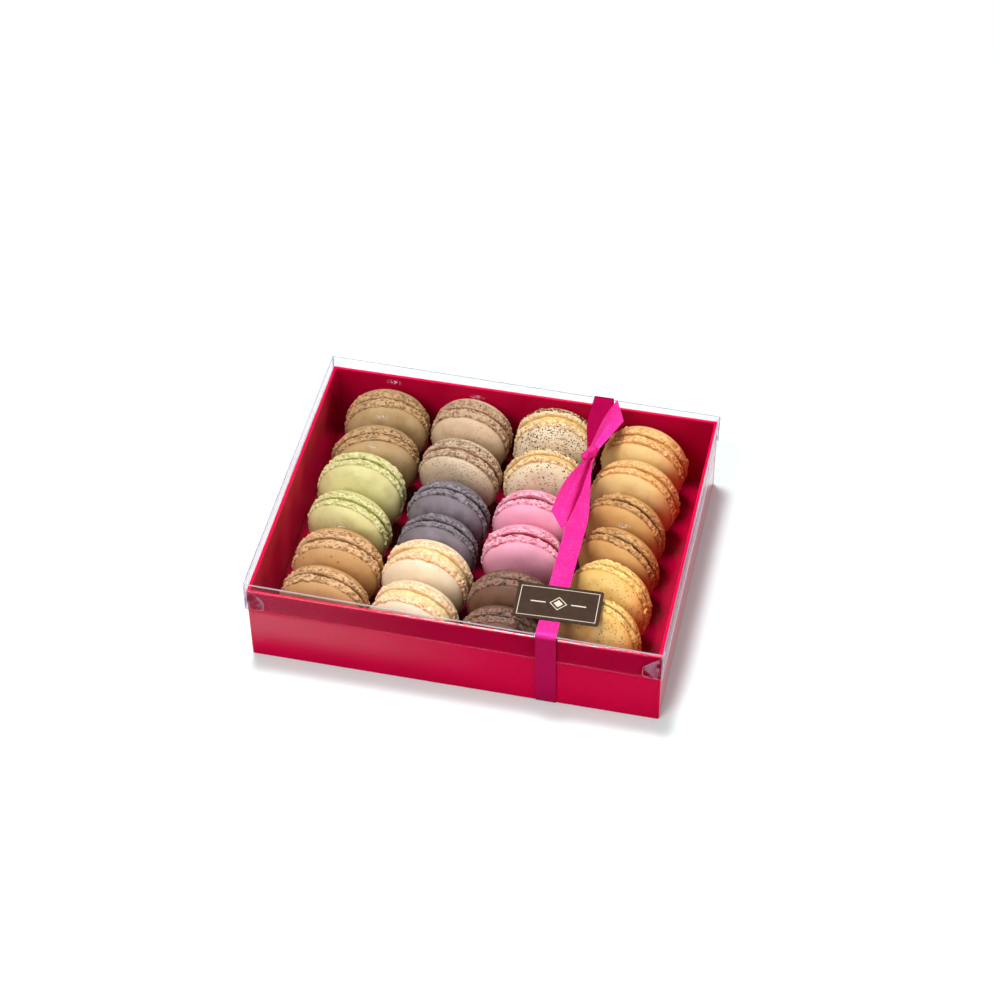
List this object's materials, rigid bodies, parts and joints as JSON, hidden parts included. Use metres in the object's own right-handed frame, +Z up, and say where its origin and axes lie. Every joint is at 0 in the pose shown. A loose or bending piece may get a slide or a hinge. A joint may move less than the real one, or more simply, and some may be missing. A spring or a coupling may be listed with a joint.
{
  "type": "box of macarons",
  "caption": "Gift box of filled macarons standing on edge in rows, in a folded card tray with a clear folded lid, tied round with a ribbon that holds a plain card label.",
  "frame": {"origin": "middle of the footprint, on the surface that the tray stands on", "axes": "+X along the box's long side, with the ribbon on the +X half; -Y is the front, where the label lies; +Z up through the lid"},
  "size_m": [0.2174, 0.1766, 0.0589],
  "materials": {
    "tray": "satin coated card, deep red",
    "lid": "clear glossy plastic sheet, creased and glued",
    "ribbon": "satin ribbon, bright pink",
    "label": "matt dark brown card",
    "coffee": "baked almond meringue, matt, coffee brown",
    "pistachio": "baked almond meringue, matt, pale green",
    "caramel": "baked almond meringue, matt, caramel",
    "light_brown": "baked almond meringue, matt, light brown",
    "speckled_brown": "baked almond meringue, matt, light brown with green and dark specks",
    "violet": "baked almond meringue, matt, violet grey",
    "vanilla": "baked almond meringue, matt, ivory with golden feet",
    "flecked_cream": "baked almond meringue, matt, cream with dark flecks",
    "pink": "baked almond meringue, matt, rose pink",
    "chocolate": "baked almond meringue, matt, chocolate brown",
    "lemon": "baked almond meringue, matt, pale lemon",
    "ginger": "baked almond meringue, matt, ginger brown",
    "yellow": "baked almond meringue, matt, yellow with brown specks"
  },
  "bodies": {
    "root": {"tray": "tray", "lid": "lid", "ribbon": "ribbon", "label": "label", "macaron_1_1_coffee": "coffee", "macaron_1_2_coffee": "coffee", "macaron_1_3_pistachio": "pistachio", "macaron_1_4_pistachio": "pistachio", "macaron_1_5_caramel": "caramel", "macaron_1_6_caramel": "caramel", "macaron_2_1_light_brown": "light_brown", "macaron_2_2_speckled_brown": "speckled_brown", "macaron_2_3_violet": "violet", "macaron_2_4_violet": "violet", "macaron_2_5_vanilla": "vanilla", "macaron_2_6_vanilla": "vanilla", "macaron_3_1_flecked_cream": "flecked_cream", "macaron_3_2_flecked_cream": "flecked_cream", "macaron_3_3_pink": "pink", "macaron_3_4_pink": "pink", "macaron_3_5_chocolate": "chocolate", "macaron_3_6_chocolate": "chocolate", "macaron_4_1_lemon": "lemon", "macaron_4_2_lemon": "lemon", "macaron_4_3_ginger": "ginger", "macaron_4_4_ginger": "ginger", "macaron_4_5_yellow": "yellow", "macaron_4_6_yellow": "yellow"}
  },
  "joints": []
}
